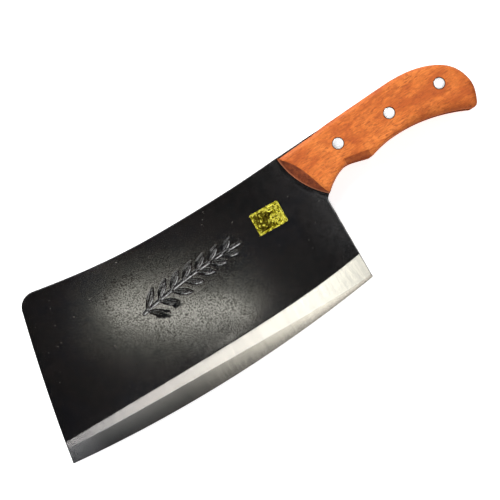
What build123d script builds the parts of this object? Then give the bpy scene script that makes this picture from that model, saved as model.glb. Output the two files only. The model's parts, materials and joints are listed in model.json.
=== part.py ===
from build123d import *
import os
from math import sqrt

# Forged Chinese-style meat cleaver: one steel blade with a full-length tang, two wooden
# scales held by three two-piece cutlery rivets, and a small foil label on the cheek.
#
# Everything is drawn in the blade's own frame, in millimetres: X runs along the chord of
# the cutting edge from tip to heel, Y from the edge towards the spine, and Z across the
# thickness, with the labelled face towards +Z and the middle of the steel at Z = 0.
# Last of all the knife is laid down on its back, as it rests on a table.

# --- blade outline -------------------------------------------------------------------
EDGE_LENGTH = 213.3           # straight from the tip corner to the heel corner
EDGE_SAG = 6.7                # how far the curved edge bows below that chord
TIP_CORNER = (0, 0)
TIP_SIDE_MIDDLE = (8.9, 41.5)
SPINE_CORNER = (25.1, 103.1)  # where the tip side and the spine would meet if sharp
SPINE_CORNER_RADIUS = 9.8
SPINE_POINTS = [(36, 100.9), (68, 95.3), (104, 91.6), (142, 90.5), (180, 90.8)]
HEEL_CORNER = (EDGE_LENGTH, 0)
CHOIL = (215.0, 54.3)         # inner corner between the heel side and the handle
CHOIL_RADIUS = 2.5
BELOW_EDGE = -14              # the blank reaches down to here before grinding

# --- blade thickness -----------------------------------------------------------------
TANG_THICKNESS = 5.0
TIP_SPINE_THICKNESS = 3.7
TIP_BEVEL_THICKNESS = 2.8
EDGE_THICKNESS = 0.3
BEVEL_TIP = (3.0, 13.6)       # top of the bevel on the tip side
TIP_SPINE = (24.0, 101.0)     # outermost stretch of the rounded spine corner
# Each row is one place along the edge: X, height of the line between the two ground
# facets, height of the top of the bevel, and how far the facet line stands proud of a
# flat grind. The lower facet fades out towards the heel.
GRIND_STATIONS = [
    (-4, 10.3, 13.8, 0.12),
    (50, 6.4, 12.5, 0.15),
    (100, 3.5, 11.5, 0.16),
    (150, 1.5, 11.7, 0.10),
    (190, 1.0, 13.5, 0.04),
    (218, 2.0, 17.0, 0.01),
]
GRIND_TOP = 112               # the grinding solid reaches past the spine
SPACE_MARGIN = 20             # room round the blade in the block that holds it

# --- handle outline ------------------------------------------------------------------
SPINE_JOIN = (201.2, 91.7)    # the scales begin here on the spine side
HANDLE_SPINE_POINTS = [(240, 92.8), (280.5, 94.5)]
BUTT_POINTS = [(304.8, 91.0), (319.6, 81.2), (324.1, 68.3)]
BUTT_CORNER = (319.3, 53.3)   # lower corner of the butt before rounding
BUTT_CORNER_RADIUS = 3.0
BELLY_POINTS = [(304.5, 59.8), (277, 65.1)]
BUMP = (250.3, 61.8)          # where the belly meets the finger notch
BUMP_RADIUS = 4.0
NOTCH_POINTS = [(243.5, 63.7), (235.4, 65.3), (224.1, 61.6)]
SCALE_FRONT_MIDDLE = (206.3, 71.5)
SCALE_FRONT_FOOT = (217.4, 56.5)
SCALE_START = (201.4, 90.7)   # the wood is a little lower than the tang here
BUTT_DIRECTION = (-0.42, -0.91)  # the butt's outline runs this way into its corner

# --- scales --------------------------------------------------------------------------
SCALE_THICKNESS = 9.0
SCALE_EDGE_RADIUS = 2.5
FRONT_FACET_TOP = (203.5, 88.0)
FRONT_FACET_FOOT = (216.5, 63.8)
FRONT_LIP = 0.6               # wood left standing under the front facet
NOTCH_FACET_START = (234.8, 69.7)
NOTCH_FACET_END = (262.4, 63.7)  # it runs out past the bump
NOTCH_FACET_DEPTH = 3.8
NOTCH_FACET_WIDTH = 6.2

# --- rivets --------------------------------------------------------------------------
RIVETS = {"front": (236.8, 79.0), "middle": (272.2, 78.3), "rear": (306.8, 77.5)}
RIVET_HEAD_RADIUS = 3.5
RIVET_HEAD_THICKNESS = 1.5
COUNTERBORE_RADIUS = 3.7
SOCKET_RADIUS = 2.7
STUD_RADIUS = 2.0
STUD_END_GAP = 1.0            # air left under the stud inside the socket
RIVET_HEAD_CHAMFER = 0.15

# --- foil label ----------------------------------------------------------------------
LABEL_CENTRE = (178.4, 63.3)
LABEL_SIZE = (19.2, 14.2)
LABEL_CORNER_RADIUS = 0.8
LABEL_THICKNESS = 0.15
LABEL_TURN = -2.4             # degrees from the edge chord

HALF_TANG = TANG_THICKNESS / 2
OUTER_FACE = HALF_TANG + SCALE_THICKNESS


def cheek_plane():
    """The flat labelled cheek, through three corners of the blade."""
    bevel_corner = Vector(*BEVEL_TIP, TIP_BEVEL_THICKNESS / 2)
    spine_corner = Vector(*TIP_SPINE, TIP_SPINE_THICKNESS / 2)
    tang_corner = Vector(SCALE_FRONT_FOOT[0], SPINE_JOIN[1], HALF_TANG)
    along = tang_corner - bevel_corner
    normal = along.cross(spine_corner - bevel_corner)
    return Plane(origin=bevel_corner, x_dir=along, z_dir=normal)


def cheek_half(x, y):
    """Half the steel's thickness at a point of the cheek."""
    plane = cheek_plane()
    normal = plane.z_dir
    origin = plane.origin
    return origin.Z - (normal.X * (x - origin.X) + normal.Y * (y - origin.Y)) / normal.Z


def edge_height(x):
    """Height of the cutting edge: a shallow arc through both of its corners."""
    radius = (EDGE_LENGTH**2 / 4 + EDGE_SAG**2) / (2 * EDGE_SAG)
    from_middle = x - EDGE_LENGTH / 2
    return radius - EDGE_SAG - sqrt(radius**2 - from_middle**2)


def butt_and_belly():
    """Handle outline from the end of its spine side round to the finger notch."""
    butt = Spline(HANDLE_SPINE_POINTS[-1], *BUTT_POINTS, BUTT_CORNER,
                  tangents=[(1, 0), BUTT_DIRECTION])
    belly = Spline(BUTT_CORNER, *BELLY_POINTS, BUMP)
    return [butt, belly]


def silhouette():
    """Outline of the whole forging, blade and tang together."""
    tip_side = ThreePointArc(TIP_CORNER, TIP_SIDE_MIDDLE, SPINE_CORNER)
    spine = Spline(SPINE_CORNER, *SPINE_POINTS, SPINE_JOIN, *HANDLE_SPINE_POINTS)
    notch = Spline(BUMP, *NOTCH_POINTS, CHOIL)
    below_tip = (GRIND_STATIONS[0][0], BELOW_EDGE)
    below_heel = (HEEL_CORNER[0], BELOW_EDGE)
    bottom = Polyline(CHOIL, HEEL_CORNER, below_heel, below_tip, TIP_CORNER)
    face = make_face([tip_side, spine, *butt_and_belly(), notch, bottom])
    face = round_corner(face, SPINE_CORNER, SPINE_CORNER_RADIUS)
    face = round_corner(face, CHOIL, CHOIL_RADIUS)
    return round_handle_corners(face)


def scale_front():
    """Curved front of the scales, where the blade comes out."""
    return ThreePointArc(SCALE_FRONT_FOOT, SCALE_FRONT_MIDDLE, SCALE_START)


def scale_outline():
    """Outline of one scale; it dips just under the tang on the spine side."""
    spine = Spline(SCALE_START, *HANDLE_SPINE_POINTS)
    notch = Spline(BUMP, *NOTCH_POINTS, SCALE_FRONT_FOOT)
    face = make_face([scale_front(), spine, *butt_and_belly(), notch])
    return round_handle_corners(face)


def round_corner(face, point, radius):
    corner = face.vertices().sort_by_distance((*point, 0))[0]
    return fillet(corner, radius)


def round_handle_corners(face):
    face = round_corner(face, BUTT_CORNER, BUTT_CORNER_RADIUS)
    return round_corner(face, BUMP, BUMP_RADIUS)


def grinding_solid():
    """Everything that the two-facet grind leaves: a wedge that opens towards the spine."""
    sections = []
    for x, facet_height, bevel_height, proud in GRIND_STATIONS:
        edge = edge_height(x)
        bevel_half = cheek_half(x, bevel_height)
        flat_slope = (bevel_half - EDGE_THICKNESS / 2) / (bevel_height - edge)
        facet_half = EDGE_THICKNESS / 2 + flat_slope * (facet_height - edge) + proud
        upper_slope = (bevel_half - facet_half) / (bevel_height - facet_height)
        top_half = facet_half + upper_slope * (GRIND_TOP - facet_height)
        labelled_side = [
            (edge, EDGE_THICKNESS / 2),
            (facet_height, facet_half),
            (GRIND_TOP, top_half),
        ]
        plain_side = [(height, -half) for height, half in reversed(labelled_side)]
        across = Plane(origin=(x, 0, 0), x_dir=(0, 1, 0), z_dir=(1, 0, 0))
        sections.append(across * Polygon(*labelled_side, *plain_side, align=None))
    return loft(sections)


def space_in_front_of_handle():
    """Block that holds the whole blade and ends at the front of the scales."""
    left = -SPACE_MARGIN
    right = SCALE_FRONT_FOOT[0] + SPACE_MARGIN
    top = GRIND_TOP + SPACE_MARGIN
    bottom = BELOW_EDGE - SPACE_MARGIN
    border = Polyline(SCALE_START, (SCALE_START[0], top), (left, top), (left, bottom),
                      (right, bottom), (right, CHOIL[1]), (SCALE_FRONT_FOOT[0], CHOIL[1]),
                      SCALE_FRONT_FOOT)
    return extrude(make_face([scale_front(), border]), SPACE_MARGIN, both=True)


def rivet_holes():
    """The three holes for the rivet tubes, right through scales and tang."""
    hole = Cylinder(SOCKET_RADIUS, 3 * OUTER_FACE)
    return Part() + [Pos(*centre) * hole for centre in RIVETS.values()]


def blade():
    """Tapered, ground blade in one piece with a flat tang of constant thickness."""
    forging = extrude(silhouette(), HALF_TANG, both=True)
    in_front = space_in_front_of_handle()
    tang = forging - in_front
    plate = forging & in_front & grinding_solid()
    cheek = cheek_plane()
    plate = split(plate, bisect_by=cheek, keep=Keep.BOTTOM)
    plate = mirror(plate, about=Plane.XY)
    plate = split(plate, bisect_by=cheek, keep=Keep.BOTTOM)
    return plate + tang - rivet_holes()


def front_facet_plane():
    """Slanted front of a scale, from its outer face down to the blade."""
    top = Vector(*FRONT_FACET_TOP, OUTER_FACE)
    foot = Vector(*FRONT_FACET_FOOT, OUTER_FACE)
    low = Vector(*SCALE_FRONT_MIDDLE, HALF_TANG + FRONT_LIP)
    return Plane(origin=top, x_dir=foot - top, z_dir=(low - top).cross(foot - top))


def notch_facet_cutter():
    """Wedge that eases the butt side of the finger notch."""
    start = Vector(*NOTCH_FACET_START, OUTER_FACE)
    along = Vector(*NOTCH_FACET_END, OUTER_FACE) - start
    across = Plane(origin=start, x_dir=(0, -1, 0), z_dir=along)
    past_belly = 3 * NOTCH_FACET_WIDTH
    above = -1
    wedge = Polygon((0, 0), (NOTCH_FACET_WIDTH, NOTCH_FACET_DEPTH),
                    (past_belly, NOTCH_FACET_DEPTH), (past_belly, above), (0, above),
                    align=None)
    return extrude(across * wedge, along.length, dir=along)


def front_scale():
    """Scale on the labelled side: sanded edges, two facets and counterbored holes."""
    slab = Pos(0, 0, HALF_TANG) * extrude(scale_outline(), SCALE_THICKNESS)
    outer = slab.faces().sort_by(Axis.Z)[-1]
    front_middle = (*SCALE_FRONT_MIDDLE, OUTER_FACE)
    rounded_edges = outer.edges().sort_by_distance(front_middle)[1:]
    slab = fillet(rounded_edges, SCALE_EDGE_RADIUS)
    slab = split(slab, bisect_by=front_facet_plane(), keep=Keep.BOTTOM)
    slab -= notch_facet_cutter()
    slab -= rivet_holes()
    for centre in RIVETS.values():
        counterbore = Cylinder(COUNTERBORE_RADIUS, 2 * RIVET_HEAD_THICKNESS)
        slab -= Pos(*centre, OUTER_FACE) * counterbore
    return slab


def rivet_head():
    """Polished disc, its outer face at the face of the scale."""
    centre_height = OUTER_FACE - RIVET_HEAD_THICKNESS / 2
    disc = Pos(0, 0, centre_height) * Cylinder(RIVET_HEAD_RADIUS, RIVET_HEAD_THICKNESS)
    return chamfer(disc.edges().group_by(Axis.Z)[-1], RIVET_HEAD_CHAMFER)


def rivet_socket():
    """Tube with a head on the plain side; it passes through both scales and the tang."""
    inner_end = OUTER_FACE - RIVET_HEAD_THICKNESS
    tube = extrude(Pos(0, 0, -inner_end) * Circle(SOCKET_RADIUS), 2 * inner_end)
    bore = extrude(Pos(0, 0, -inner_end) * Circle(STUD_RADIUS), 2 * inner_end)
    return mirror(rivet_head(), about=Plane.XY) + tube - bore


def rivet_stud():
    """Pin with a head on the labelled side, pressed into the tube."""
    inner_end = OUTER_FACE - RIVET_HEAD_THICKNESS
    pin_length = 2 * inner_end - STUD_END_GAP
    pin = extrude(Pos(0, 0, inner_end - pin_length) * Circle(STUD_RADIUS), pin_length)
    return rivet_head() + pin


def foil_label():
    """Thin rounded rectangle stuck flat on the labelled cheek."""
    cheek = cheek_plane()
    middle = Vector(*LABEL_CENTRE, cheek_half(*LABEL_CENTRE))
    x_dir = Vector(1, 0, 0) - cheek.z_dir * cheek.z_dir.X
    on_cheek = Plane(origin=middle, x_dir=x_dir, z_dir=cheek.z_dir)
    outline = Rot(0, 0, LABEL_TURN) * RectangleRounded(*LABEL_SIZE, LABEL_CORNER_RADIUS)
    return extrude(on_cheek * outline, LABEL_THICKNESS)


def table_plane():
    """Table under the knife: it touches the tip and the front of the plain-side scale."""
    tip = Vector(*BEVEL_TIP, -cheek_half(*BEVEL_TIP))
    top = Vector(*FRONT_FACET_TOP, -OUTER_FACE)
    foot = Vector(*FRONT_FACET_FOOT, -OUTER_FACE)
    normal = (foot - tip).cross(top - tip)
    x_dir = Vector(1, 0, 0) - normal.normalized() * normal.normalized().X
    return Plane(origin=tip, x_dir=x_dir, z_dir=normal)


def resting_place(shapes):
    """The move that lays the knife on Z = 0 with the origin under the middle of its box."""
    to_table = table_plane().location.inverse()
    box = Compound([shape.moved(to_table) for shape in shapes]).bounding_box()
    return Pos(-box.center().X, -box.center().Y, 0) * to_table


def knife_nodes():
    """Every node by name, still in the blade's own frame."""
    scale = front_scale()
    nodes = {
        "blade": blade(),
        "front_scale": scale,
        "back_scale": mirror(scale, about=Plane.XY),
        "foil_label": foil_label(),
    }
    for name, centre in RIVETS.items():
        nodes[f"{name}_rivet_socket"] = Pos(*centre) * rivet_socket()
        nodes[f"{name}_rivet_stud"] = Pos(*centre) * rivet_stud()
    return nodes


os.makedirs("parts", exist_ok=True)
knife = knife_nodes()
rest = resting_place(knife.values())
for node_name, node_shape in knife.items():
    export_step(node_shape.moved(rest), f"parts/{node_name}.step")
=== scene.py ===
import json
import math

import bmesh
import bpy
import numpy as np
from mathutils import Matrix, Vector, kdtree, noise
from mathutils.bvhtree import BVHTree
from mathutils.geometry import delaunay_2d_cdt


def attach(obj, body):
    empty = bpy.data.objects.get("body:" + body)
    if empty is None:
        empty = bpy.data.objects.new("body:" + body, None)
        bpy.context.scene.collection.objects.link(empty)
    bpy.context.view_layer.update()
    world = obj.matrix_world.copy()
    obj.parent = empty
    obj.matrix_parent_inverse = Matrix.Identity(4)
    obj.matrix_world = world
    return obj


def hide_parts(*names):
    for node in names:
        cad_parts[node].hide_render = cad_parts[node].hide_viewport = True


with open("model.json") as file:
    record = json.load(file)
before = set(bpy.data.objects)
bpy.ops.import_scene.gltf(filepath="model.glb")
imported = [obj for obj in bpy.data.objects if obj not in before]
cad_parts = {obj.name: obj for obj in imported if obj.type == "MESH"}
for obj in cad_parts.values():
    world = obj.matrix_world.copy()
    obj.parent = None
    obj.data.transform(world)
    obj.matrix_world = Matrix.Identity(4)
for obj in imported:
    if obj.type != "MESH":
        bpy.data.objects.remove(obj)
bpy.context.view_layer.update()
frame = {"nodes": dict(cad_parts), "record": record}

# The shapes below are worked out in the blade's own frame, in millimetres: X along the
# chord of the cutting edge from tip to heel, Y from the edge to the spine, Z out of the
# labelled face, with Z = 0 in the middle of the steel. BLADE takes that frame to the row's.
MM = 0.001
GRIP_PLACE = Vector((270.0, 79.0, 0.0))  # where the record's hand_grip mount lies
MOUNTS = {mount["name"]: mount for mount in frame["record"]["mounts"]}


def blade_frame():
    """The blade's frame in the row's, from two of the record's mounts."""
    grip = MOUNTS["hand_grip"]
    along = Vector(grip["axis"])
    up = -Vector(MOUNTS["back_scale_face"]["axis"])
    turn = Matrix((along, up.cross(along), up)).transposed().to_4x4()
    place = Matrix.Translation(Vector(grip["pos_m"]))
    return place @ turn @ Matrix.Scale(MM, 4) @ Matrix.Translation(-GRIP_PLACE)


BLADE = blade_frame()
TO_BLADE = BLADE.inverted()

# --- driving dimensions of the blade, in millimetres ---
EDGE_LENGTH = 213.3
EDGE_SAG = 6.7
EDGE_HALF = 0.15
# X, height of the line between the two ground facets, top of the bevel, facet crown
GRIND_STATIONS = np.array([
    (-4, 10.3, 13.8, 0.12),
    (50, 6.4, 12.5, 0.15),
    (100, 3.9, 11.5, 0.16),
    (150, 2.6, 11.7, 0.11),
    (190, 1.0, 13.5, 0.04),
    (218, 2.0, 17.0, 0.01),
])
LOWER_CROWN = 0.28            # how much steeper the lower facet gets towards the edge
RIM_ROUNDING = 0.45           # rounded border of the forged cheeks
BEVEL_ROUNDING = 0.35         # share of it that is left on the ground bevel
TANG_ROUNDING = 0.1
TANG_HALF = 2.5
TIP_RUN = 22                  # the tip side leans over this much of the blade
TIP_TOP = 96                  # the spine's rounded corner begins here
HEEL_TOP = 53                 # the heel side runs up to the choil
HEEL_LEAN = 1.7 / 54.3
HEEL_CHAMFER = 0.55
# size and depth of the hammered unevenness, broad to fine
CHEEK_WAVES = ((30, 0.050), (11, 0.007), (3.5, 0.0012))
BACK_SEED = 50                # sets the plain cheek's unevenness apart from the front's
FORGED_FADE = 6.0             # the unevenness grows over this height above the bevel
RIM_FADE = 4.0                # and over this depth from the outline
STAMP_CENTRE = (120.0, 61.0)
STAMP_SIZE = (74.0, 21.0)
STAMP_DEPTH = 0.24
LEAF_PAIRS = 7
LEAF_HALF_WIDTH = 1.75
DENT_SIZE = (38.0, 11.0)      # the blow that made the stamp also dished the cheek
DENT_DEPTH = 0.08

# --- driving dimensions of the handle and its rivets ---
OUTER_FACE = 11.5
SCALE_EDGE_RADIUS = 2.5
ROLL_START, ROLL_FULL = 258, 290   # the belly's edge is sanded away more towards the butt
ROLL_WIDTH, ROLL_DROP = 7.0, 4.2
ROLL_FADE = (325, 318)        # the roll fades away from 318 to the butt at 325
BELLY_TOP = 69                # the grip's lower side lies below this height
TUCK_END, TUCK_DEPTH = 236, 0.7
FRONT_BEND = ((202.2, 89.1), (209.0, 79.7), (213.2, 68.7), (216.6, 58.8))
FRONT_HEIGHTS = (58, 90.5)    # the bowed line through those places lies between these
FRONT_FOOT = (217.6, 90.6)    # the scales meet the blade before this X and below this Y
FRONT_HOLLOW = 0.85           # below 1 the facet is a little hollow towards its foot
FRONT_LIP = 0.6
FRONT_END = 225               # the front facet lies wholly before this place
NOTCH_START, NOTCH_END = 235.0, 250.2  # the finger notch's facet
NOTCH_TOP = ((234.8, 69.7), (262.4, 63.7))
NOTCH_HEIGHTS = (62.4, 70)    # its two ends run up between these heights
# the wood's border is darkened over this width as painted shade
RIM_WIDTH = 1.8               # darker border of the wood
COUNTERBORE_RADIUS = 3.7
SOCKET_RADIUS = 2.7
PIN_RADIUS = 2.0
PIN_CHAMFER = 0.2
HEAD_RADIUS = 3.28
HEAD_THICKNESS = 1.5
HEAD_CROWN = 0.06
HEAD_CORNER = 0.15

# --- driving dimensions of the label ---
LABEL_SIZE = (19.2, 14.2)
LABEL_CORNER = 0.8
LABEL_TURN = math.radians(-2.4)
LABEL_REST = 0.03             # the foil's lift counts from this far above the cheek
LABEL_SUNK = 0.12             # its underside lies this far below that, to leave no gap
BLOTCH_SIZES = (1.25, 0.55)   # coarse and fine dark blotches
BLOTCH_MARGIN = 1.5           # plain foil left round them
BLOTCH_DEPTH = 0.03

# --- mesh spacing ---
BLADE_STEP, STAMP_STEP, SCALE_STEP, LABEL_STEP = 1.7, 0.42, 0.85, 0.28
BLADE_RIM_DEPTHS = (0.12, 0.28, 0.5, 1.0)
SCALE_RIM_DEPTHS = (0.12, 0.35, 0.7, 1.2, 1.8, 2.5)
# free points keep this far from the outlines, the drawn lines and the counterbores
BLADE_CLEAR, GROUND_CLEAR = 1.5, 0.6
SCALE_CLEAR, CREASE_CLEAR, BORE_CLEAR = 2.9, 0.35, 0.5
LABEL_CLEAR = 0.2
ON_WALL = 0.05                # points this close to an outline belong to its side wall
ABOVE_TANG = 0.3              # outer surfaces lie more than this above the tang
RAY_START = 40.0              # well outside everything
RAY_REACHES = (0.0, 0.05, 0.1, 0.2, 0.4)  # the outline runs a little off the CAD's facets

# --- view ---
CAMERA_TURN = math.radians(31.985)
CAMERA_PLACE = (158.75, 53.0, 750.0)
SEEN_WIDTH = 302.0            # what the picture's width takes in at the blade


# --- helpers for shapes ---
def smooth_step(low, high, value):
    """Goes smoothly from 0 at low to 1 at high."""
    t = np.clip((value - low) / (high - low), 0, 1)
    return t * t * (3 - 2 * t)


def wave(points, size, seed):
    """Smooth noise of about -1 to 1 at each point, with bumps of the given size."""
    return np.array([noise.noise(Vector((x / size, y / size, seed))) for x, y in points])


def node_in_blade_frame(name):
    """A CAD node as a bmesh in the blade's frame, its seams merged."""
    bm = bmesh.new()
    bm.from_mesh(frame["nodes"][name].data)
    bm.transform(TO_BLADE)
    bmesh.ops.remove_doubles(bm, verts=bm.verts, dist=1e-3)
    return bm


def node_box(name):
    """Lowest and highest corner of a CAD node in the blade's frame."""
    bm = node_in_blade_frame(name)
    corners = np.array([v.co for v in bm.verts])
    bm.free()
    return corners.min(axis=0), corners.max(axis=0)


def cut_loops(name, height):
    """Closed outlines of a CAD node at a height, the longest first."""
    bm = node_in_blade_frame(name)
    everything = bm.verts[:] + bm.edges[:] + bm.faces[:]
    cut = bmesh.ops.bisect_plane(
        bm, geom=everything, dist=1e-4, plane_co=(0, 0, height), plane_no=(0, 0, 1)
    )
    neighbours = {}
    for item in cut["geom_cut"]:
        if isinstance(item, bmesh.types.BMEdge):
            a, b = item.verts
            neighbours.setdefault(a, []).append(b)
            neighbours.setdefault(b, []).append(a)
    loops = []
    while neighbours:
        start = next(iter(neighbours))
        loop = [start]
        while neighbours.get(loop[-1]):
            following = neighbours[loop[-1]].pop()
            neighbours[following].remove(loop[-1])
            if following is start:
                break
            loop.append(following)
        neighbours = {v: n for v, n in neighbours.items() if n}
        loops.append(without_extras(np.array([v.co[:2] for v in loop])))
    bm.free()
    return sorted(loops, key=outline_length, reverse=True)


def without_extras(loop, flat=0.002, close=0.2):
    """A closed outline without the points that lie on its chords or crowd a neighbour."""
    kept = list(loop)
    i = 0
    while i < len(kept) and len(kept) > 3:
        before, here, after = kept[i - 1], kept[i], kept[(i + 1) % len(kept)]
        chord, step = after - before, here - before
        off = abs(chord[0] * step[1] - chord[1] * step[0]) / np.linalg.norm(chord)
        crowded = np.linalg.norm(step) < close and off < 10 * flat
        if off < flat or crowded:
            del kept[i]
        else:
            i += 1
    return np.array(kept)


def lengths(rows):
    """Length of each row, taken as a vector."""
    return np.linalg.norm(rows, axis=1)


def outline_length(loop):
    """Length once round a closed outline."""
    return lengths(np.roll(loop, -1, axis=0) - loop).sum()


def smooth_outline(loop, step, corner=math.radians(30)):
    """A closed outline with even spacing: straight and smooth runs between its corners."""
    to_next = np.roll(loop, -1, axis=0) - loop
    loop = loop[lengths(to_next) > 1e-3]
    to_next = np.roll(loop, -1, axis=0) - loop
    length = lengths(to_next)
    heading = to_next / length[:, None]
    before = np.roll(heading, 1, axis=0)
    sharp = (heading * before).sum(axis=1) < math.cos(corner)
    length_before = np.roll(length, 1)
    tangent = heading * length_before[:, None] + before * length[:, None]
    tangent = np.where((length > 2.5 * length_before)[:, None], heading, tangent)
    tangent = np.where((length_before > 2.5 * length)[:, None], before, tangent)
    tangent /= lengths(tangent)[:, None]
    points = []
    for i in range(len(loop)):
        j = (i + 1) % len(loop)
        leaving = heading[i] if sharp[i] else tangent[i]
        arriving = heading[i] if sharp[j] else tangent[j]
        count = max(1, round(length[i] / step))
        for t in np.arange(count) / count:
            points.append(
                (2 * t**3 - 3 * t**2 + 1) * loop[i]
                + (t**3 - 2 * t**2 + t) * leaving * length[i]
                + (3 * t**2 - 2 * t**3) * loop[j]
                + (t**3 - t**2) * arriving * length[i]
            )
    return np.array(points)


def inside(points, loop):
    """Whether each point lies inside a closed outline, by crossings."""
    a, b = loop, np.roll(loop, -1, axis=0)
    result = np.zeros(len(points), bool)
    for (ax, ay), (bx, by) in zip(a, b):
        if ay == by:
            continue
        spans = (ay > points[:, 1]) != (by > points[:, 1])
        crossing = ax + (points[:, 1] - ay) * (bx - ax) / (by - ay)
        result ^= spans & (points[:, 0] < crossing)
    return result


def inward(loop):
    """Unit vectors from an anticlockwise outline towards its inside."""
    along = np.roll(loop, -1, axis=0) - np.roll(loop, 1, axis=0)
    along /= lengths(along)[:, None]
    return np.stack([-along[:, 1], along[:, 0]], axis=1)


def anticlockwise(loop):
    """The outline, turned round if it runs clockwise."""
    following = np.roll(loop, -1, axis=0)
    area = (loop[:, 0] * following[:, 1] - following[:, 0] * loop[:, 1]).sum()
    return loop if area > 0 else loop[::-1]


class Nearest:
    """Finds the nearest of some targets."""

    def __init__(self, targets):
        self.targets = targets
        self.tree = kdtree.KDTree(len(targets))
        for i, (x, y) in enumerate(targets):
            self.tree.insert((x, y, 0), i)
        self.tree.balance()

    def to(self, points):
        """Distance from each point to its nearest target, and that target."""
        found = [self.tree.find((x, y, 0)) for x, y in points]
        return np.array([f[2] for f in found]), self.targets[[f[1] for f in found]]


def nearest_on(outline):
    """Finds the nearest place on a closed outline, to within a twentieth of a millimetre."""
    return Nearest(smooth_outline(outline, 0.1, corner=0))


def hex_points(low, high, spacing):
    """Evenly staggered points over a rectangle."""
    rows = []
    row_step = spacing * math.sqrt(3) / 2
    for i, y in enumerate(np.arange(low[1], high[1], row_step)):
        xs = np.arange(low[0] + (i % 2) * spacing / 2, high[0], spacing)
        rows.append(np.stack([xs, np.full_like(xs, y)], axis=1))
    return np.vstack(rows)


def circle(centre, radius, count=64):
    """Even points on a circle, anticlockwise."""
    angles = np.arange(count) * 2 * math.pi / count
    return np.asarray(centre) + radius * np.stack([np.cos(angles), np.sin(angles)], axis=1)


def rim_points(outline, distance, depths):
    """Rings of points inside an outline, without those that fold over at its corners."""
    rim = np.vstack([outline + inward(outline) * depth for depth in depths])
    rim_depth = np.repeat(depths, len(outline))
    return rim[distance.to(rim)[0] > 0.9 * rim_depth]


def clear_run(run, outline, distance, gap):
    """The points of a run that lie inside an outline and clear of it."""
    return run[inside(run, outline) & (distance.to(run)[0] > gap)]


def triangulate(loops, lines, points):
    """Triangles between the first outline and the others, through all lines and points."""
    coords = np.vstack([*loops, *lines, points])
    edges = []
    start = 0
    for loop in loops:
        edges += [(start + i, start + (i + 1) % len(loop)) for i in range(len(loop))]
        start += len(loop)
    for line in lines:
        edges += [(start + i, start + i + 1) for i in range(len(line) - 1)]
        start += len(line)
    found = delaunay_2d_cdt([Vector(c) for c in coords.tolist()], edges, [], 0, 1e-4)
    flat = np.array([v[:] for v in found[0]])
    triangles = np.array(found[2])
    corners = flat[triangles]
    middles = corners.mean(axis=1)
    u, v = corners[:, 1] - corners[:, 0], corners[:, 2] - corners[:, 0]
    area = u[:, 0] * v[:, 1] - u[:, 1] * v[:, 0]
    keep = inside(middles, loops[0]) & (np.abs(area) > 1e-7)
    for hole in loops[1:]:
        keep &= ~inside(middles, hole)
    triangles, area = triangles[keep], area[keep]
    triangles[area < 0] = triangles[area < 0][:, ::-1]
    return flat, triangles


def plate(name, flat, triangles, top, bottom):
    """Closed mesh between two heights over the same triangles, walled along its border."""
    count = len(flat)
    faces = triangles.tolist()
    edges = dict.fromkeys((t[i - 1], t[i]) for t in faces for i in (1, 2, 0))
    border = [(a, b) for a, b in edges if (b, a) not in edges]
    faces += [(c + count, b + count, a + count) for a, b, c in triangles.tolist()]
    faces += [(b, a, a + count, b + count) for a, b in border]
    vertices = np.vstack([np.column_stack([flat, height]) for height in (top, bottom)])
    used = sorted({i for face in faces for i in face})
    new_index = {old: new for new, old in enumerate(used)}
    faces = [[new_index[i] for i in face] for face in faces]
    mesh = bpy.data.meshes.new(name)
    mesh.from_pydata(vertices[used].tolist(), [], faces)
    return mesh


def new_object(name, data):
    """Puts a new object in the scene."""
    made = bpy.data.objects.new(name, data)
    bpy.context.scene.collection.objects.link(made)
    return made


def add_piece(name, mesh, node, materials, sharp=35):
    """Puts a finished mesh in the scene in place of its CAD node."""
    mesh.transform(BLADE)
    mesh.validate()
    mesh.shade_smooth()
    mesh.set_sharp_from_angle(angle=math.radians(sharp))
    for material in materials:
        mesh.materials.append(material)
    piece = new_object(name, mesh)
    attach(piece, "root")
    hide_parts(node)


def soften(triangles, values, rounds, hold):
    """Evens out values over a mesh a few times; held places keep theirs."""
    a, b = triangles.ravel(), np.roll(triangles, -1, axis=1).ravel()
    ends, others = np.concatenate([a, b]), np.concatenate([b, a])
    degree = np.maximum(np.bincount(ends, minlength=len(values)), 1)
    for _ in range(rounds):
        total = np.bincount(ends, weights=values[others], minlength=len(values))
        values = np.where(hold, values, 0.5 * values + 0.5 * total / degree)
    return values


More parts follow.
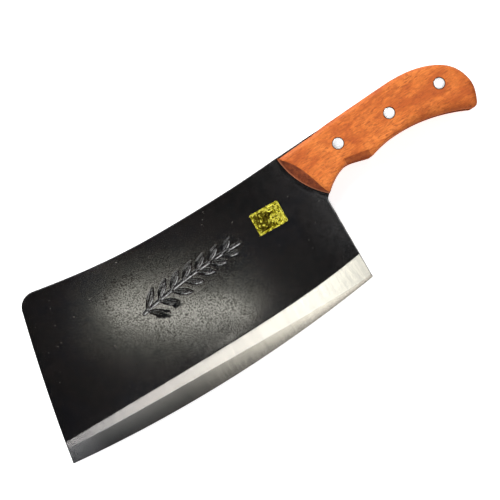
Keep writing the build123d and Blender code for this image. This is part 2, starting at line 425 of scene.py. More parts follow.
# --- material helpers ---
class Material:
    """A node material with short calls for the nodes used here."""

    def __init__(self, name, **settings):
        self.material = bpy.data.materials.new(name)
        self.material.use_nodes = True
        self.tree = self.material.node_tree
        self.shader = self.tree.nodes["Principled BSDF"]
        self.place = self.node("TexCoord").outputs["Object"]
        for socket, value in settings.items():
            self.shader.inputs[socket.replace("_", " ")].default_value = value

    def node(self, kind, **inputs):
        made = self.tree.nodes.new("ShaderNode" + kind)
        for socket, value in inputs.items():
            self.feed(made.inputs[socket.replace("_", " ")], value)
        return made

    def feed(self, socket, value):
        if isinstance(value, bpy.types.NodeSocket):
            self.tree.links.new(value, socket)
        else:
            socket.default_value = value

    def attribute(self, name):
        made = self.node("Attribute")
        made.attribute_name = name
        return made.outputs["Fac"]

    def noise(self, scale=1.0, detail=3.0, roughness=0.55, stretch=None, distortion=0.0):
        where = self.place
        if stretch is not None:
            where = self.node("Mapping", Vector=where, Scale=stretch).outputs["Vector"]
        made = self.node("TexNoise", Vector=where, Scale=scale, Detail=detail,
                         Roughness=roughness, Distortion=distortion)
        return made.outputs["Fac"]

    def ramp(self, factor, *stops):
        made = self.node("ValToRGB", Fac=factor)
        ramp = made.color_ramp
        for position, colour in stops[2:]:
            ramp.elements.new(position)
        for element, (position, colour) in zip(ramp.elements, sorted(stops)):
            element.position = position
            if not isinstance(colour, tuple):
                colour = (colour,) * 3
            element.color = (*colour, 1)
        return made.outputs["Color"]

    def blend(self, factor, first, second, kind="MIX"):
        made = self.node("Mix")
        made.data_type = "RGBA"
        made.blend_type = kind
        for index, value in ((0, factor), (6, first), (7, second)):
            if isinstance(value, tuple):
                value = (*value, 1)
            self.feed(made.inputs[index], value)
        return made.outputs[2]

    def times(self, first, second):
        return self.blend(1.0, first, second, "MULTIPLY")

    def maths(self, operation, first, second):
        made = self.node("Math")
        made.operation = operation
        self.feed(made.inputs[0], first)
        self.feed(made.inputs[1], second)
        return made.outputs[0]

    def bump(self, height, distance, under=None):
        made = self.node("Bump", Height=height, Distance=distance)
        if under is not None:
            self.feed(made.inputs["Normal"], under)
        return made.outputs["Normal"]

    def finish(self, colour, roughness=None, normal=None, sheen=None):
        for socket, value in (("Base Color", colour), ("Roughness", roughness),
                              ("Normal", normal), ("Specular IOR Level", sheen)):
            if value is not None:
                self.feed(self.shader.inputs[socket], value)
        return self.material


def forged_black():
    """Oiled forge scale: near black with warm and green tints and a fine uneven skin."""
    m = Material("forged_black", IOR=1.9)
    patches = m.noise(26, detail=4)
    mottle = m.noise(190, detail=5, roughness=0.65)
    pits = m.noise(1150, roughness=0.6)
    specks = m.noise(420, detail=2, roughness=0.5)
    tint = m.ramp(patches, (0.30, (0.0024, 0.0026, 0.0036)), (0.45, (0.0024, 0.0024, 0.0028)),
                  (0.55, (0.0036, 0.0029, 0.0022)), (0.64, (0.0025, 0.0026, 0.0021)),
                  (0.75, (0.0044, 0.0030, 0.0024)))
    flecks = m.ramp(mottle, (0.45, 0.0), (0.75, 1.0))
    colour = m.blend(flecks, tint, (0.0070, 0.0052, 0.0042))
    chips = m.ramp(specks, (0.74, 0.0), (0.79, 1.0))
    colour = m.blend(chips, colour, (0.10, 0.09, 0.08))
    gloss = m.ramp(mottle, (0.3, 0.120), (0.7, 0.145))
    sheen = m.ramp(pits, (0.38, 0.21), (0.56, 0.56))
    normal = m.bump(pits, 0.0000016)
    normal = m.bump(mottle, 0.0000006, under=normal)
    return m.finish(colour, gloss, normal, sheen)


def rough_black():
    """Dry forge scale on the spine and round the tang."""
    m = Material("rough_black", Specular_IOR_Level=0.0)
    skin = m.noise(600, detail=4, roughness=0.7)
    colour = m.ramp(skin, (0.35, (0.004, 0.004, 0.004)), (0.7, (0.012, 0.010, 0.009)))
    rough = m.ramp(skin, (0.3, 0.6), (0.7, 0.8))
    return m.finish(colour, rough, m.bump(skin, 0.00003))


def ground_steel(name, gloss, *tones_with_painted_light):
    """Steel ground across the edge, with its tone, partly painted reflection and shade, at
    places from tip (0) to heel (1).
    """
    m = Material(name, Metallic=1.0)
    lines = m.noise(roughness=0.7, stretch=(2600, 90, 90))
    broad = m.noise(detail=2, roughness=0.5, stretch=(420, 40, 40))
    along = m.node("SeparateXYZ", Vector=m.place).outputs["X"]
    along = m.maths("ADD", along, m.maths("MULTIPLY", broad, 0.01))
    tip_x, heel_x = ((BLADE @ Vector((x, 0, 0))).x for x in (0, EDGE_LENGTH))
    to_heel = m.node("MapRange", Value=along, From_Min=tip_x, From_Max=heel_x).outputs["Result"]
    # the tone along the blade carries painted reflection and shade on the lower facet
    base = m.ramp(to_heel, *tones_with_painted_light)
    scratches = m.ramp(lines, (0.35, 0.72), (0.65, 1.0))
    colour = m.times(base, scratches)
    shade = m.ramp(broad, (0.3, 0.91), (0.7, 1.0))
    colour = m.times(colour, shade)
    rough = m.ramp(lines, (0.3, gloss), (0.75, gloss + 0.04))
    normal = m.bump(lines, 0.0000015)
    return m.finish(colour, rough, normal)


def sheared_steel():
    """Filed sides of the blade: grey, with remains of dark scale."""
    m = Material("filed_steel", Metallic=0.9)
    lines = m.noise(roughness=0.7, stretch=(500, 500, 3000))
    dark = m.noise(220, detail=4)
    colour = m.ramp(dark, (0.4, (0.32, 0.32, 0.31)), (0.68, (0.07, 0.065, 0.06)))
    rough = m.ramp(lines, (0.3, 0.38), (0.7, 0.6))
    return m.finish(colour, rough, m.bump(lines, 0.00001))


def wood(name, tone):
    """Orange-brown hardwood, blotchy, with short darker flecks under satin varnish, and painted
    shade towards its edges.
    """
    m = Material(name, Coat_Weight=0.06, Coat_Roughness=0.35)
    rim = m.attribute("rim")
    sheen = m.ramp(rim, (0.0, 0.0), (0.35, 0.2))
    broad = m.noise(detail=4, roughness=0.6, stretch=(42, 85, 85), distortion=0.8)
    blotch = m.noise(detail=5, roughness=0.7, stretch=(150, 300, 300), distortion=1.2)
    fibres = m.noise(roughness=0.65, stretch=(230, 1400, 1400))
    flecks = m.noise(roughness=0.6, stretch=(240, 1000, 1000), distortion=0.5)
    base = m.ramp(broad, (0.34, (0.80, 0.232, 0.046)), (0.5, (0.70, 0.180, 0.032)),
                  (0.62, (0.54, 0.118, 0.022)))
    stain = m.ramp(blotch, (0.46, 0.0), (0.62, 0.6))
    colour = m.blend(stain, base, (0.46, 0.095, 0.021))
    streaks = m.ramp(fibres, (0.38, 0.84), (0.62, 1.04))
    colour = m.times(colour, streaks)
    marks = m.ramp(flecks, (0.55, 0.0), (0.66, 0.7))
    colour = m.blend(marks, colour, (0.30, 0.060, 0.016))
    # Painted shade: the wood darkens towards its outline, on its side walls and over the
    # belly's roll, where the surface turns away from the light.
    edge_falloff = m.ramp(rim, (0.0, (0.58, 0.50, 0.50)), (0.35, (0.86, 0.82, 0.82)),
                  (1.0, (1.0, 1.0, 1.0)))
    colour = m.times(colour, edge_falloff)
    colour = m.times(colour, tone)
    rough = m.ramp(fibres, (0.3, 0.45), (0.7, 0.6))
    normal = m.bump(fibres, 0.00001)
    normal = m.bump(flecks, 0.00002, under=normal)
    return m.finish(colour, rough, normal, sheen)


def end_grain_and_painted_shade(name, light, dark):
    """Cut ends of the fibres: dark red-brown, with fine pores, and darkened further as painted
    shade.
    """
    m = Material(name, Coat_Weight=0.08, Coat_Roughness=0.4, Specular_IOR_Level=0.2)
    blotch = m.noise(230, detail=4, roughness=0.6)
    pores = m.noise(1500, detail=2, roughness=0.6)
    colour = m.ramp(blotch, (0.38, light), (0.62, dark))
    shade = m.ramp(pores, (0.5, 1.0), (0.66, 0.55))
    colour = m.times(colour, shade)
    # Painted highlight: lighter colour along the front facet's lip, next to the outline.
    painted_lip_highlight = m.ramp(m.attribute("rim"), (0.15, 0.8), (0.45, 0.0))
    colour = m.blend(painted_lip_highlight, colour, (0.50, 0.17, 0.08))
    rough = m.ramp(blotch, (0.3, 0.5), (0.7, 0.65))
    return m.finish(colour, rough, m.bump(pores, 0.00002))


def rivet_metal():
    """Polished white metal with fine belt marks."""
    m = Material("rivet_metal", Metallic=0.9)
    lines = m.noise(roughness=0.7, stretch=(600, 5200, 600))
    stain = m.noise(700)
    colour = m.ramp(stain, (0.40, (0.97, 0.97, 0.96)), (0.80, (0.90, 0.89, 0.87)))
    rough = m.ramp(lines, (0.3, 0.26), (0.7, 0.34))
    return m.finish(colour, rough, m.bump(lines, 0.0000008))


def foil(name, light, middle, dark, gloss):
    """Creased metallic foil with shifting tones."""
    m = Material(name, Metallic=1.0)
    creases = m.node("TexVoronoi", Vector=m.place, Scale=520.0)
    shift = m.noise(330, roughness=0.6, distortion=1.5)
    fine = m.noise(1500, roughness=0.7)
    colour = m.ramp(shift, (0.36, dark), (0.45, middle), (0.55, light), (0.66, middle))
    rough = m.ramp(fine, (0.3, gloss), (0.7, gloss + 0.15))
    normal = m.bump(creases.outputs["Distance"], 0.00012)
    normal = m.bump(shift, 0.00016, under=normal)
    return m.finish(colour, rough, normal)


# --- blade ---
def edge_height(x):
    """Height of the cutting edge: a shallow arc through both of its corners."""
    radius = (EDGE_LENGTH**2 / 4 + EDGE_SAG**2) / (2 * EDGE_SAG)
    return radius - EDGE_SAG - np.sqrt(radius**2 - (x - EDGE_LENGTH / 2) ** 2)


def station_curve(column):
    """Smooth curve along the blade through one column of the grinding stations."""
    return np.poly1d(np.polyfit(GRIND_STATIONS[:, 0], GRIND_STATIONS[:, column], 4))


FACET_HEIGHT, BEVEL_HEIGHT, FACET_CROWN = (station_curve(i) for i in (1, 2, 3))


def cheek_half(x, y):
    """Half the steel's thickness over the flat cheek, from the record's back_cheek."""
    cheek = MOUNTS["back_cheek"]
    place = TO_BLADE @ Vector(cheek["pos_m"])
    normal = TO_BLADE.to_3x3() @ Vector(cheek["axis"])
    return (normal.x * (x - place.x) + normal.y * (y - place.y)) / normal.z - place.z


def ground_half(x, y):
    """Half thickness left by the ground facets, with the upper one drawn on upwards."""
    edge, facet, bevel = edge_height(x), FACET_HEIGHT(x), BEVEL_HEIGHT(x)
    bevel_half = cheek_half(x, bevel)
    flat_slope = (bevel_half - EDGE_HALF) / (bevel - edge)
    facet_half = EDGE_HALF + flat_slope * (facet - edge) + FACET_CROWN(x)
    t = np.clip((y - edge) / (facet - edge), 0, 1)
    lower = EDGE_HALF + (facet_half - EDGE_HALF) * (t + LOWER_CROWN * t * (1 - t))
    upper = facet_half + (bevel_half - facet_half) * (y - facet) / (bevel - facet)
    return np.where(y < facet, lower, upper)


def leaf_depth(points, base, angle, length, width):
    """Depth, from 0 to 1, of one long leaf pressed into the cheek, with a raised rib."""
    across = np.array([-math.sin(angle), math.cos(angle)])
    along = np.array([math.cos(angle), math.sin(angle)])
    u = (points - base) @ along / length
    v = np.abs((points - base) @ across)
    half = width * np.sin(np.pi * np.clip(u, 0, 1)) ** 0.8
    pressed = smooth_step(-0.25, 0.45, half - v) * ((u > 0) & (u < 1))
    rib = smooth_step(-0.5, -0.12, -v) * smooth_step(0.0, 0.2, u) * smooth_step(0.0, 0.2, 1 - u)
    return pressed * (1 - 0.7 * rib)


def stem_height(u):
    """Height of the stamped stem, from its left end (-1) to its right end (1)."""
    return STAMP_CENTRE[1] - 2.0 + 3.0 * u - 2.0 * u * u


def stamp_depth(points):
    """A pressed spray of leaves along a gently bowed stem, from 0 to 1 deep."""
    half_length, half_height = STAMP_SIZE[0] / 2, STAMP_SIZE[1] / 2
    u = (points[:, 0] - STAMP_CENTRE[0]) / half_length
    on_stem = smooth_step(-1.0, -0.96, -np.abs(u))
    depth = smooth_step(-0.95, -0.3, -np.abs(points[:, 1] - stem_height(u))) * on_stem
    for i in range(LEAF_PAIRS):
        at = -0.90 + 1.52 * i / (LEAF_PAIRS - 1)
        base = np.array([STAMP_CENTRE[0] + at * half_length, stem_height(at)])
        length = half_height * (1.32 - 0.06 * i)
        for side in (-1, 1):
            angle = side * (0.70 - 0.04 * i) + 0.06
            leaf = leaf_depth(points, base + (0.4, 0.7 * side), angle, length,
                              LEAF_HALF_WIDTH)
            depth = np.maximum(depth, leaf)
    return depth


def ground_lines(outline, distance):
    """The bevel's top and the line between its facets, as runs of points."""
    xs = np.arange(1.0, EDGE_LENGTH + 1.6, 1.0)
    lines = [np.stack([xs, curve(xs)], axis=1) for curve in (BEVEL_HEIGHT, FACET_HEIGHT)]
    return [clear_run(line, outline, distance, ON_WALL) for line in lines]


def stamp_and_cheek_points(low, high):
    """Even points over the blade, closer together in the stamp."""
    coarse = hex_points(low, high, BLADE_STEP)
    half_stamp = np.array(STAMP_SIZE) / 2 + 1
    in_stamp = (np.abs(coarse - STAMP_CENTRE) < half_stamp).all(axis=1)
    fine = hex_points(STAMP_CENTRE - half_stamp, STAMP_CENTRE + half_stamp, STAMP_STEP)
    return np.vstack([coarse[~in_stamp], fine])


def blade_points(outline, holes, distance):
    """Points inside the blade's outline, clear of its ground lines and holes."""
    points = stamp_and_cheek_points(outline.min(axis=0), outline.max(axis=0))
    for curve in (BEVEL_HEIGHT, FACET_HEIGHT):
        points = points[np.abs(points[:, 1] - curve(points[:, 0])) >= GROUND_CLEAR]
    points = points[distance.to(points)[0] > BLADE_CLEAR]
    points = np.vstack([rim_points(outline, distance, BLADE_RIM_DEPTHS), points])
    points = points[inside(points, outline)]
    for hole in holes:
        points = points[~inside(points, hole)]
    return points


def cheek_uneven(flat, seed):
    """Hammered unevenness of a forged cheek."""
    return sum(high * wave(flat, size, seed + size) for size, high in CHEEK_WAVES)


def dent_depth(flat):
    """The shallow dish round the stamp."""
    off = (flat - STAMP_CENTRE) / DENT_SIZE
    return DENT_DEPTH * np.exp(-0.5 * (off**2).sum(axis=1))


def lost_to_rounding(flat, depth, half, on_blade):
    """How far the rounding of the border lowers a side, over each point."""
    x, y = flat.T
    rounding = np.minimum(RIM_ROUNDING, half - EDGE_HALF)
    rounding = np.where(y < BEVEL_HEIGHT(x), BEVEL_ROUNDING * rounding, rounding)
    rounding = np.where(on_blade, rounding, TANG_ROUNDING)
    into = rounding - np.minimum(depth, rounding)
    return rounding - np.sqrt(np.maximum(rounding**2 - into**2, 0))


def blade_sides(flat, depth):
    """Heights of the labelled and of the plain side over each point."""
    x, y = flat.T
    on_blade = in_front_of_handle(flat)
    half = np.minimum(cheek_half(x, y), ground_half(x, y))
    forged = smooth_step(0.0, FORGED_FADE, y - BEVEL_HEIGHT(x))
    forged = forged * smooth_step(0.0, RIM_FADE, depth)
    top = half + (cheek_uneven(flat, 0) - dent_depth(flat)) * forged
    top -= STAMP_DEPTH * stamp_depth(flat)
    bottom = half + cheek_uneven(flat, BACK_SEED) * forged
    lost = lost_to_rounding(flat, depth, half, on_blade)
    top = np.where(on_blade, top, TANG_HALF) - lost
    bottom = np.where(on_blade, bottom, TANG_HALF) - lost
    return top, -bottom


def blade_piece(materials):
    """The blade and its tang, with all their relief, over the CAD's outline."""
    loops = [anticlockwise(loop) for loop in cut_loops("blade", 0.0)]
    outline = smooth_outline(loops[0], 1.1)
    holes = [circle(hole.mean(axis=0), np.ptp(hole[:, 0]) / 2, 32) for hole in loops[1:]]
    distance = nearest_on(outline)
    lines = ground_lines(outline, distance)
    points = blade_points(outline, holes, distance)
    flat, triangles = triangulate([outline, *holes], lines, points)
    top, bottom = blade_sides(flat, distance.to(flat)[0])
    mesh = plate("blade", flat, triangles, top, bottom)
    paint_blade(mesh)
    add_piece("forged_blade", mesh, "blade", materials)


def in_front_of_handle(flat):
    """Whether points lie on the blade and not under the scales."""
    scale = anticlockwise(cut_loops("front_scale", TANG_HALF + 0.1)[0])
    return ~inside(flat, smooth_outline(scale, 1.0)) & (flat[:, 0] < scale[:, 0].min() + 30)


def paint_blade(mesh):
    """Gives each face its finish: scale, upper or lower facet, filed side or dry scale."""
    for face in mesh.polygons:
        x, y, _ = face.center
        is_side = abs(face.normal.z) < 0.4
        if y < BEVEL_HEIGHT(x) and x < EDGE_LENGTH + 2:
            face.material_index = 1 if y > FACET_HEIGHT(x) else 2
        from_heel = EDGE_LENGTH + HEEL_LEAN * y - x
        by_heel = from_heel < HEEL_CHAMFER and y < HEEL_TOP and x < EDGE_LENGTH + 3
        by_tip = is_side and x < TIP_RUN and y < TIP_TOP
        if y > edge_height(min(max(x, 0), EDGE_LENGTH)) + 1:
            if by_tip or by_heel:
                face.material_index = 3
            elif is_side or x > EDGE_LENGTH + 6:
                face.material_index = 4


# --- handle ---
def top_of(name, flat, side, on_wall):
    """Height of a CAD node's outer surface over each point; side is 1 or -1.

    A point on the side wall takes the highest surface just beside it.
    """
    bm = node_in_blade_frame(name)
    tree = BVHTree.FromBMesh(bm)
    bm.free()
    heights = []
    for (x, y), by_wall in zip(flat.tolist(), on_wall):
        hits = []
        for reach in RAY_REACHES[1:] if by_wall else RAY_REACHES:
            for dx, dy in circle((0, 0), reach, 8).tolist():
                hit, *_ = tree.ray_cast((x + dx, y + dy, RAY_START * side), (0, 0, -side))
                if hit is not None and hit.z * side > TANG_HALF + ABOVE_TANG:
                    hits.append(hit.z * side)
            if hits:
                break
        heights.append(max(hits) if hits else TANG_HALF)
    return np.array(heights)


def crease_lines(name, side, holes):
    """Sharp edges on a node's outer side, away from its holes, as short runs of points."""
    bm = node_in_blade_frame(name)
    runs = []
    for edge in bm.edges:
        if min(v.co.z * side for v in edge.verts) < TANG_HALF + ABOVE_TANG:
            continue
        if not edge.is_manifold or edge.calc_face_angle() < math.radians(25):
            continue
        a, b = (np.array(v.co[:2]) for v in edge.verts)
        if min(np.linalg.norm(a - centre) for centre in holes) < COUNTERBORE_RADIUS + 0.3:
            continue
        count = max(1, round(np.linalg.norm(b - a) / 0.8))
        runs.append(a + (b - a) * np.linspace(0, 1, count + 1)[:, None])
    bm.free()
    return runs


def tuck_spine_edge(outline):
    """Draws the spine side in by the blade, where the tang stands a little proud."""
    into = inward(outline)
    amount = TUCK_DEPTH * smooth_step(-TUCK_END, 12 - TUCK_END, -outline[:, 0])
    amount = amount * smooth_step(0.6, 0.9, -into[:, 1])
    return outline + into * amount[:, None]


def front_bend(y):
    """X of the bowed line where the grip's flat top bends down towards the blade."""
    xs, ys = zip(*FRONT_BEND)
    return np.polyval(np.polyfit(ys, xs, 3), y)


def front_facet(flat, outline):
    """Height of the front facet: ruled from its bowed top line down to the blade."""
    x, y = flat.T
    bend = front_bend(y)
    by_blade = outline[(outline < FRONT_FOOT).all(axis=1)]
    to_blade, _ = Nearest(by_blade).to(flat)
    to_bend = np.maximum(bend - x, 0) * FRONT_HOLLOW
    share = to_blade / np.maximum(to_blade + to_bend, 1e-6)
    low = TANG_HALF + FRONT_LIP
    return np.where(x < bend, low + (OUTER_FACE - low) * share, OUTER_FACE)


def edge_round(depth):
    """Height of the rounded edge all round the grip."""
    into = np.clip(1 - depth / SCALE_EDGE_RADIUS, 0, 1)
    return OUTER_FACE - SCALE_EDGE_RADIUS * (1 - np.sqrt(1 - into**2))


def roll_amount(nearest):
    """How far the belly's roll has grown at places on the outline, from 0 to 1."""
    return smooth_step(ROLL_START, ROLL_FULL, nearest[:, 0]) * (nearest[:, 1] < BELLY_TOP)


def belly_roll(depth, nearest):
    """Height of the soft roll along the lower edge of the grip."""
    amount = roll_amount(nearest) * smooth_step(*ROLL_FADE, nearest[:, 0])
    width = np.maximum(ROLL_WIDTH * amount, 0.01)
    into = np.clip(1 - depth / width, 0, 1)
    return OUTER_FACE - ROLL_DROP * amount * (1 - np.sqrt(1 - into**2))


def notch_top(x):
    """Height of the line that the finger notch's facet starts from."""
    (start, start_height), (end, end_height) = NOTCH_TOP
    return start_height + (end_height - start_height) * (x - start) / (end - start)


def scale_creases(name, side, outline, distance, centres):
    """The CAD's creases behind the front facet, that facet's top, and the notch's ends."""
    creases = [
        run for run in crease_lines(name, side, centres)
        if inside(run, outline).all() and distance.to(run)[0].min() > 0.1
        and run[:, 0].min() > FRONT_END
    ]
    ys = np.linspace(*FRONT_HEIGHTS, 45)
    drawn = [np.stack([front_bend(ys), ys], axis=1)]
    ys = np.linspace(*NOTCH_HEIGHTS, 12)
    drawn += [np.stack([np.full_like(ys, x), ys], axis=1) for x in (NOTCH_START, NOTCH_END)]
    return creases + [clear_run(run, outline, distance, 0.1) for run in drawn]


def scale_points(outline, distance, creases, centres):
    """Points inside a scale's outline, clear of its creases and counterbores."""
    points = hex_points(outline.min(axis=0), outline.max(axis=0), SCALE_STEP)
    points = points[distance.to(points)[0] > SCALE_CLEAR]
    points = np.vstack([rim_points(outline, distance, SCALE_RIM_DEPTHS), points])
    points = points[Nearest(np.vstack(creases)).to(points)[0] > CREASE_CLEAR]
    points = points[inside(points, outline)]
    for centre in centres:
        off = lengths(points - centre)
        points = points[off > COUNTERBORE_RADIUS + BORE_CLEAR]
    return points


def counterbore_steps(centres):
    """Close rings that keep each counterbore's wall steep, as closed runs of points."""
    radii = [COUNTERBORE_RADIUS + off for off in (-0.03, 0.03, 0.15)]
    rings = [circle(centre, radius) for centre in centres for radius in radii]
    return [np.vstack([ring, ring[:1]]) for ring in rings]


def scale_top(name, side, flat, triangles, outline, distance, centres):
    """Height of a scale's outer surface over each point."""
    depth, nearest = distance.to(flat)
    on_wall = depth < ON_WALL
    from_holes = [lengths(flat - centre) for centre in centres]
    near_hole = np.min(from_holes, axis=0) < COUNTERBORE_RADIUS + 0.1
    top = top_of(name, flat, side, on_wall)
    edge_falloff = np.minimum(belly_roll(depth, nearest), edge_round(depth))
    top = np.where(near_hole, top, np.minimum(top, edge_falloff))
    top = np.minimum(top, front_facet(flat, outline))
    return soften(triangles, top, 2, near_hole | on_wall)


def scale_piece(name, side, materials):
    """One wooden scale over the CAD's outline; side is 1 for the labelled side, or -1."""
    loops = [anticlockwise(loop) for loop in cut_loops(name, side * (TANG_HALF + 0.1))]
    outline = tuck_spine_edge(smooth_outline(loops[0], 0.8))
    centres = [hole.mean(axis=0) for hole in loops[1:]]
    holes = [circle(centre, SOCKET_RADIUS) for centre in centres]
    distance = nearest_on(outline)
    creases = scale_creases(name, side, outline, distance, centres)
    lines = counterbore_steps(centres) + creases
    points = scale_points(outline, distance, creases, centres)
    flat, triangles = triangulate([outline, *holes], lines, points)
    top = scale_top(name, side, flat, triangles, outline, distance, centres)
    base = np.full(len(flat), TANG_HALF)
    upper, lower = (top, base) if side > 0 else (-base, -top)
    mesh = plate(name, flat, triangles, upper, lower)
    paint_scale(mesh, centres)
    mark_rim(mesh, distance)
    add_piece("wooden_" + name, mesh, name, materials)


def mark_rim(mesh, distance):
    """Stores how far each vertex lies in from the outline, for the painted shade along the
    wood's rim and over the belly's roll.
    """
    flat = np.array([v.co[:2] for v in mesh.vertices])
    depth, nearest = distance.to(flat)
    share = np.clip(depth / (RIM_WIDTH + ROLL_WIDTH * roll_amount(nearest)), 0, 1)
    mesh.attributes.new("rim", "FLOAT", "POINT").data.foreach_set("value", share)


def paint_scale(mesh, holes):
    """Gives each face its wood: varnished, end grain with painted shade, the notch's painted
    shade, or painted shade in the counterbore.
    """
    for face in mesh.polygons:
        x, y, _ = face.center
        in_hole = min(math.dist((x, y), centre) for centre in holes) < COUNTERBORE_RADIUS
        in_notch = NOTCH_START < x < NOTCH_END and y < notch_top(x)
        if x < front_bend(y):
            # the front facet: end grain with painted shade
            face.material_index = 1
        elif in_notch and abs(face.normal.z) > 0.3:
            # the notch's facet: wood darkened as painted shade
            face.material_index = 2
        else:
            # faces in a counterbore get painted shade
            face.material_index = 3 if in_hole else 0


def lathe(name, centre, profile, count=64):
    """Closed mesh turned about the Z direction through centre; profile is (radius, z)."""
    vertices, faces, rings = [], [], []
    for radius, z in profile:
        ring = circle(centre, radius, count) if radius else np.array([centre])
        rings.append(range(len(vertices), len(vertices) + len(ring)))
        vertices += [(x, y, z) for x, y in ring.tolist()]
    following = rings[1:] + rings[:1] if profile[0][0] else rings[1:]
    for lower, upper in zip(rings, following):
        for i in range(count):
            j = (i + 1) % count
            if len(lower) == 1:
                faces.append((lower[0], upper[j], upper[i]))
            elif len(upper) == 1:
                faces.append((lower[i], lower[j], upper[0]))
            else:
                faces.append((lower[i], lower[j], upper[j], upper[i]))
    mesh = bpy.data.meshes.new(name)
    mesh.from_pydata(vertices, [], faces)
    bm = bmesh.new()
    bm.from_mesh(mesh)
    bmesh.ops.recalc_face_normals(bm, faces=bm.faces)
    bm.to_mesh(mesh)
    bm.free()
    return mesh


def head_profile(face, side):
    """Slightly crowned head: from the middle of its face out to its back corner."""
    flat_radius = HEAD_RADIUS - HEAD_CORNER
    points = [(0, face + side * HEAD_CROWN), (HEAD_RADIUS / 2, face + side * HEAD_CROWN * 0.8)]
    for degrees in range(0, 91, 15):
        turn = math.radians(degrees)
        points.append((flat_radius + HEAD_CORNER * math.sin(turn),
                       face - side * HEAD_CORNER * (1 - math.cos(turn))))
    points.append((HEAD_RADIUS, face - side * HEAD_THICKNESS))
    return points


def rivet_pieces(name, material):
    """The two halves of one rivet, in place of the CAD's stud and socket."""
    stud_node, socket_node = f"{name}_rivet_stud", f"{name}_rivet_socket"
    seat = OUTER_FACE - HEAD_THICKNESS
    low, high = node_box(stud_node)
    centre = (low + high)[:2] / 2
    stud = head_profile(high[2], 1)
    stud += [(PIN_RADIUS, seat), (PIN_RADIUS, low[2] + PIN_CHAMFER)]
    stud += [(PIN_RADIUS - PIN_CHAMFER, low[2]), (0, low[2])]
    add_piece(f"{name}_stud", lathe(stud_node, centre, stud), stud_node,
              [material])
    low, high = node_box(socket_node)
    socket = head_profile(low[2], -1)
    socket += [(SOCKET_RADIUS, -seat), (SOCKET_RADIUS, high[2])]
    socket += [(PIN_RADIUS, high[2]), (PIN_RADIUS, -seat), (0, -seat)]
    add_piece(f"{name}_socket", lathe(socket_node, centre, socket), socket_node,
              [material])


# --- label ---
def label_outline(half):
    """Rounded rectangle about the origin."""
    corners = []
    for quarter, signs in enumerate(((1, 1), (-1, 1), (-1, -1), (1, -1))):
        turn = np.radians(np.arange(0, 91, 15) + 90 * quarter)
        arc = LABEL_CORNER * np.stack([np.cos(turn), np.sin(turn)], axis=1)
        corners.append(signs * (half - LABEL_CORNER) + arc)
    return smooth_outline(np.vstack(corners), LABEL_STEP)


def in_blotches(flat):
    """Whether points lie in the label's dark blotches, which thicken towards its left."""
    coarse, fine = (wave(flat, size, 33.5) for size in BLOTCH_SIZES)
    to_left = smooth_step(-4.0, 5.0, -flat[:, 0])
    inset = (np.abs(flat) < np.array(LABEL_SIZE) / 2 - BLOTCH_MARGIN).all(axis=1)
    return inset & (coarse + 0.5 * fine + 0.70 * to_left > 0.30)


def foil_lift(flat, depth):
    """How far the creased foil stands off the cheek, with a groove near its border."""
    creases = 0.10 * wave(flat, 3.6, 21.5) + 0.05 * np.abs(wave(flat, 1.3, 25.5))
    groove = 0.05 * smooth_step(0.4, 0.6, depth) * smooth_step(-1.15, -0.95, -depth)
    lift = 0.10 + creases * smooth_step(0.0, 1.4, depth) - groove
    return np.maximum(lift - BLOTCH_DEPTH * in_blotches(flat), 0.04)


def label_piece(materials):
    """Creased foil on the cheek with a pressed border and dark blotches."""
    low, high = node_box("foil_label")
    centre = (low + high)[:2] / 2
    half = np.array(LABEL_SIZE) / 2
    outline = label_outline(half)
    distance = nearest_on(outline)
    points = hex_points(-half, half, LABEL_STEP)
    points = points[inside(points, outline)]
    points = points[distance.to(points)[0] > LABEL_CLEAR]
    flat, triangles = triangulate([outline], [], points)
    turn = np.array(Matrix.Rotation(LABEL_TURN, 2))
    placed = flat @ turn.T + centre
    ground = cheek_half(*placed.T) + LABEL_REST
    top = ground + foil_lift(flat, distance.to(flat)[0])
    mesh = plate("foil_label", placed, triangles, top, ground - LABEL_SUNK)
    middles = np.array([face.center[:2] for face in mesh.polygons])
    dark = in_blotches((middles - centre) @ turn)
    mesh.polygons.foreach_set("material_index", dark.astype(np.int32))
    add_piece("foil_label_sheet", mesh, "foil_label", materials)


# --- stage ---
def floor():
    """A plain pale floor that glows a little, so that it stays near white."""
    size = 6.0
    mesh = bpy.data.meshes.new("floor")
    corners = [(-size, -size, 0), (size, -size, 0), (size, size, 0), (-size, size, 0)]
    mesh.from_pydata(corners, [], [(0, 1, 2, 3)])
    m = Material("pale_floor", Roughness=0.9, Specular_IOR_Level=0.0,
                 Emission_Color=(1, 1, 1, 1), Emission_Strength=0.69)
    tone = m.ramp(m.noise(40, detail=4), (0.3, 0.90), (0.7, 0.94))
    mesh.materials.append(m.finish(tone))
    made = new_object("floor", mesh)


def soft_light(name, place, target, size, power, degrees=0, colour=(1.0, 1.0, 1.0)):
    """A rectangular light at a place in the blade's frame, aimed at another.

    Its first side lies along the blade, or is turned from it by some degrees.
    """
    data = bpy.data.lights.new(name, "AREA")
    data.shape = "RECTANGLE"
    data.size, data.size_y = size
    data.energy = power
    data.color = colour
    made = new_object(name, data)
    made.visible_camera = False
    away = (Vector(place) - Vector(target)).normalized()
    turn = math.radians(degrees)
    side = Vector((math.cos(turn), math.sin(turn), 0))
    across = away.cross(side).normalized()
    axes = Matrix((across.cross(away), across, away)).transposed()
    axes = BLADE.to_3x3() @ axes
    axes.normalize()
    made.matrix_world = Matrix.Translation(BLADE @ Vector(place)) @ axes.to_4x4()


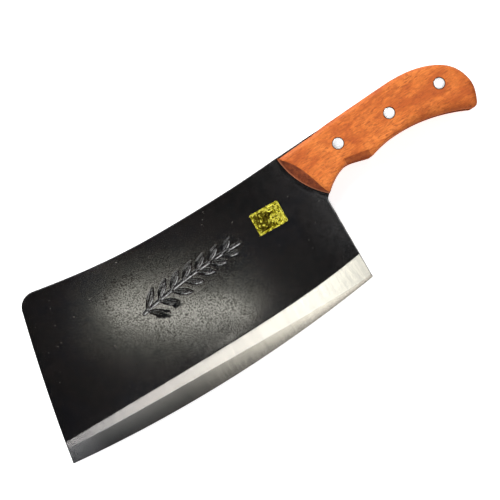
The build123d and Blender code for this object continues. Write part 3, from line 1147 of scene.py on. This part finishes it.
def sky():
    """Pale from the sides and nearly dark overhead, where the blade would mirror it."""
    world = bpy.data.worlds.new("studio")
    bpy.context.scene.world = world
    world.use_nodes = True
    tree = world.node_tree
    place = tree.nodes.new("ShaderNodeTexCoord").outputs["Generated"]
    height = tree.nodes.new("ShaderNodeSeparateXYZ")
    tree.links.new(place, height.inputs[0])
    ramp = tree.nodes.new("ShaderNodeValToRGB")
    low, high = ramp.color_ramp.elements
    low.position, low.color = 0.30, (1.0, 1.0, 1.0, 1)
    high.position, high.color = 0.85, (0.024, 0.026, 0.036, 1)
    tree.links.new(height.outputs["Z"], ramp.inputs[0])
    tree.links.new(ramp.outputs[0], tree.nodes["Background"].inputs["Color"])
    bpy.context.scene.view_settings.view_transform = "Standard"


def lights():
    """A broad key light, and panels that the blade and the rivets mirror."""
    soft_light("key", (-60, 900, 850), (160, 50, 0), (1.0, 0.9), 19)
    soft_light("tip_glow", (-62, -198, 1100), (30, 8, 0), (0.25, 0.05), 0.25, -6)
    soft_light("heel_glow", (205, -280, 1100), (150, 5, 0), (0.30, 0.12), 0.53, -25)
    soft_light("cheek_glow", (23, 24.5, 1000), (103, 41, 0), (0.20, 0.035), 0.17, -32,
               (1.0, 0.97, 0.86))
    soft_light("handle_panel", (480, 110, 1000), (270, 75, 11), (0.36, 0.24), 0.62)


def camera():
    """Straight above the blade's plane, with the blade running up to the right."""
    data = bpy.data.cameras.new("camera")
    made = new_object("camera", data)
    data.lens = data.sensor_width * CAMERA_PLACE[2] / SEEN_WIDTH
    right = Vector((math.cos(CAMERA_TURN), -math.sin(CAMERA_TURN), 0))
    up = Vector((math.sin(CAMERA_TURN), math.cos(CAMERA_TURN), 0))
    turn = Matrix((right, up, (0, 0, 1))).transposed()
    turn = BLADE.to_3x3().normalized() @ turn
    place = BLADE @ Vector(CAMERA_PLACE)
    made.matrix_world = Matrix.Translation(place) @ turn.to_4x4()
    bpy.context.scene.camera = made


def steels():
    """The blade's finishes, in the order that paint_blade numbers them."""
    upper = ground_steel("upper_facet_steel", 0.24, (0.0, (0.72, 0.70, 0.69)),
                         (0.30, (0.70, 0.66, 0.62)), (0.9, (0.86, 0.83, 0.72)))
    # Painted reflection and shade: the lower facet is darkened over the middle and lightened
    # towards the tip and the heel, where its slope mirrors the light.
    lower = ground_steel("lower_facet_steel", 0.22, (0.05, (0.46, 0.46, 0.46)),
                         (0.14, (0.17, 0.17, 0.165)), (0.40, (0.155, 0.150, 0.135)),
                         (0.86, (0.62, 0.58, 0.49)))
    return [forged_black(), upper, lower, sheared_steel(), rough_black()]


def woods():
    """The scales' finishes, in the order that paint_scale numbers them."""
    return [
        wood("varnished_wood", (1.0, 1.0, 1.0)),
        # The front facet: end grain, darkened further as painted shade because it faces away
        # from the light.
        end_grain_and_painted_shade("wood_end_grain", (0.30, 0.068, 0.020), (0.17, 0.036, 0.013)),
        # Painted shade: the finger notch's facet is the same wood, darkened because it slopes
        # away from the light.
        wood("notch_wood_painted_shade", (0.62, 0.55, 0.55)),
        # Painted shade: near-black wood in the narrow gap round each rivet head.
        end_grain_and_painted_shade("counterbore_painted_shade", (0.05, 0.020, 0.010), (0.03, 0.012, 0.006)),
    ]


def foils():
    """The label's bright and dark foil."""
    return [
        foil("gold_foil", (1.00, 0.92, 0.14), (0.42, 0.37, 0.015), (0.12, 0.095, 0.003), 0.2),
        foil("dark_foil", (0.14, 0.11, 0.01), (0.05, 0.036, 0.003), (0.02, 0.014, 0.002), 0.25),
    ]


camera()
sky()
lights()
floor()
blade_piece(steels())
handle_woods = woods()
scale_piece("front_scale", 1, handle_woods)
scale_piece("back_scale", -1, handle_woods)
metal = rivet_metal()
for rivet in ("front", "middle", "rear"):
    rivet_pieces(rivet, metal)
label_piece(foils())
